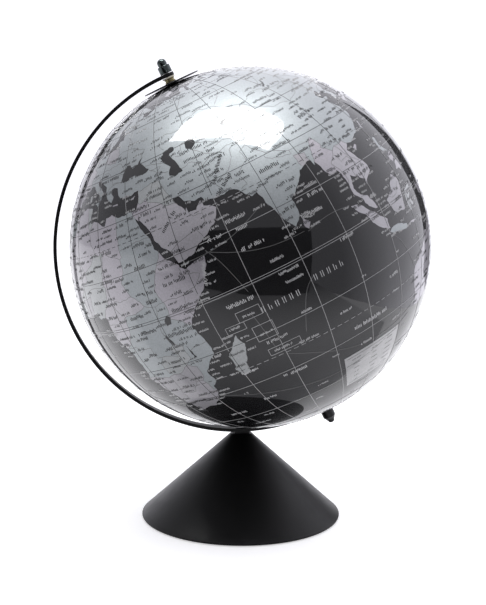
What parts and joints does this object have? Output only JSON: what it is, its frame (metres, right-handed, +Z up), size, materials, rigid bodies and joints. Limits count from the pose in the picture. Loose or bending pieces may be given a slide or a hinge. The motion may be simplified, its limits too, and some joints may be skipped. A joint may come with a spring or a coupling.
{
  "type": "desktop globe on stand",
  "caption": "Desktop globe with a black and silver world map, turning on a tilted axle in a half-ring meridian arc on a weighted cone base.",
  "frame": {"origin": "centre of the cone's foot pad, on the surface that the globe stands on", "axes": "+Z up; the meridian arc lies in the XZ plane and the north end of the globe's axle leans towards -X"},
  "size_m": [0.313, 0.3002, 0.3844],
  "materials": {
    "cone_paint": "matt black powder coat on spun steel",
    "arc_paint": "satin black paint on steel strip",
    "disc_paint": "satin black with printed pale marks",
    "black_steel": "blackened steel",
    "zinc_steel": "zinc plated steel",
    "plate_steel": "satin dark paint",
    "ballast_iron": "as cast",
    "pad_rubber": "fine-celled foam rubber",
    "dark_chrome": "dark chrome, slightly green",
    "aged_brass": "dull olive brass",
    "cream_nylon": "cream nylon",
    "bush_plastic": "black moulded plastic",
    "shell_plastic": "plain moulded plastic under the map",
    "map_print": "printed map under a high-gloss clear coat"
  },
  "bodies": {
    "stand": {"base_cone": "cone_paint", "base_plate": "plate_steel", "base_pad": "pad_rubber", "base_screws": "zinc_steel", "ballast_weight": "ballast_iron", "arc_saddle": "arc_paint", "arc_bolt": "black_steel", "arc_bolt_washer": "zinc_steel", "arc_bolt_nut": "zinc_steel", "meridian_arc": "arc_paint", "axle_rod": "zinc_steel", "north_knob": "dark_chrome", "north_top_washer": "cream_nylon", "north_collar": "aged_brass", "north_disc_washer": "black_steel", "south_washer": "cream_nylon", "south_cap_nut": "dark_chrome"},
    "globe": {"north_shell": "shell_plastic", "south_shell": "shell_plastic", "north_map": "map_print", "south_map": "map_print", "joining_ring": "shell_plastic", "equator_tape": "map_print", "north_bush": "bush_plastic", "south_bush": "bush_plastic"},
    "hour_ring": {"hour_disc": "disc_paint"}
  },
  "joints": [
    {"name": "globe_spin", "type": "hinge", "parent": "stand", "child": "globe", "pos_m": [0.0065, 0, 0.2294], "axis": [-0.4384, 0, 0.8988], "continuous": true},
    {"name": "hour_disc_turn", "type": "hinge", "parent": "stand", "child": "hour_ring", "pos_m": [0.0065, 0, 0.2294], "axis": [-0.4384, 0, 0.8988], "continuous": true}
  ]
}
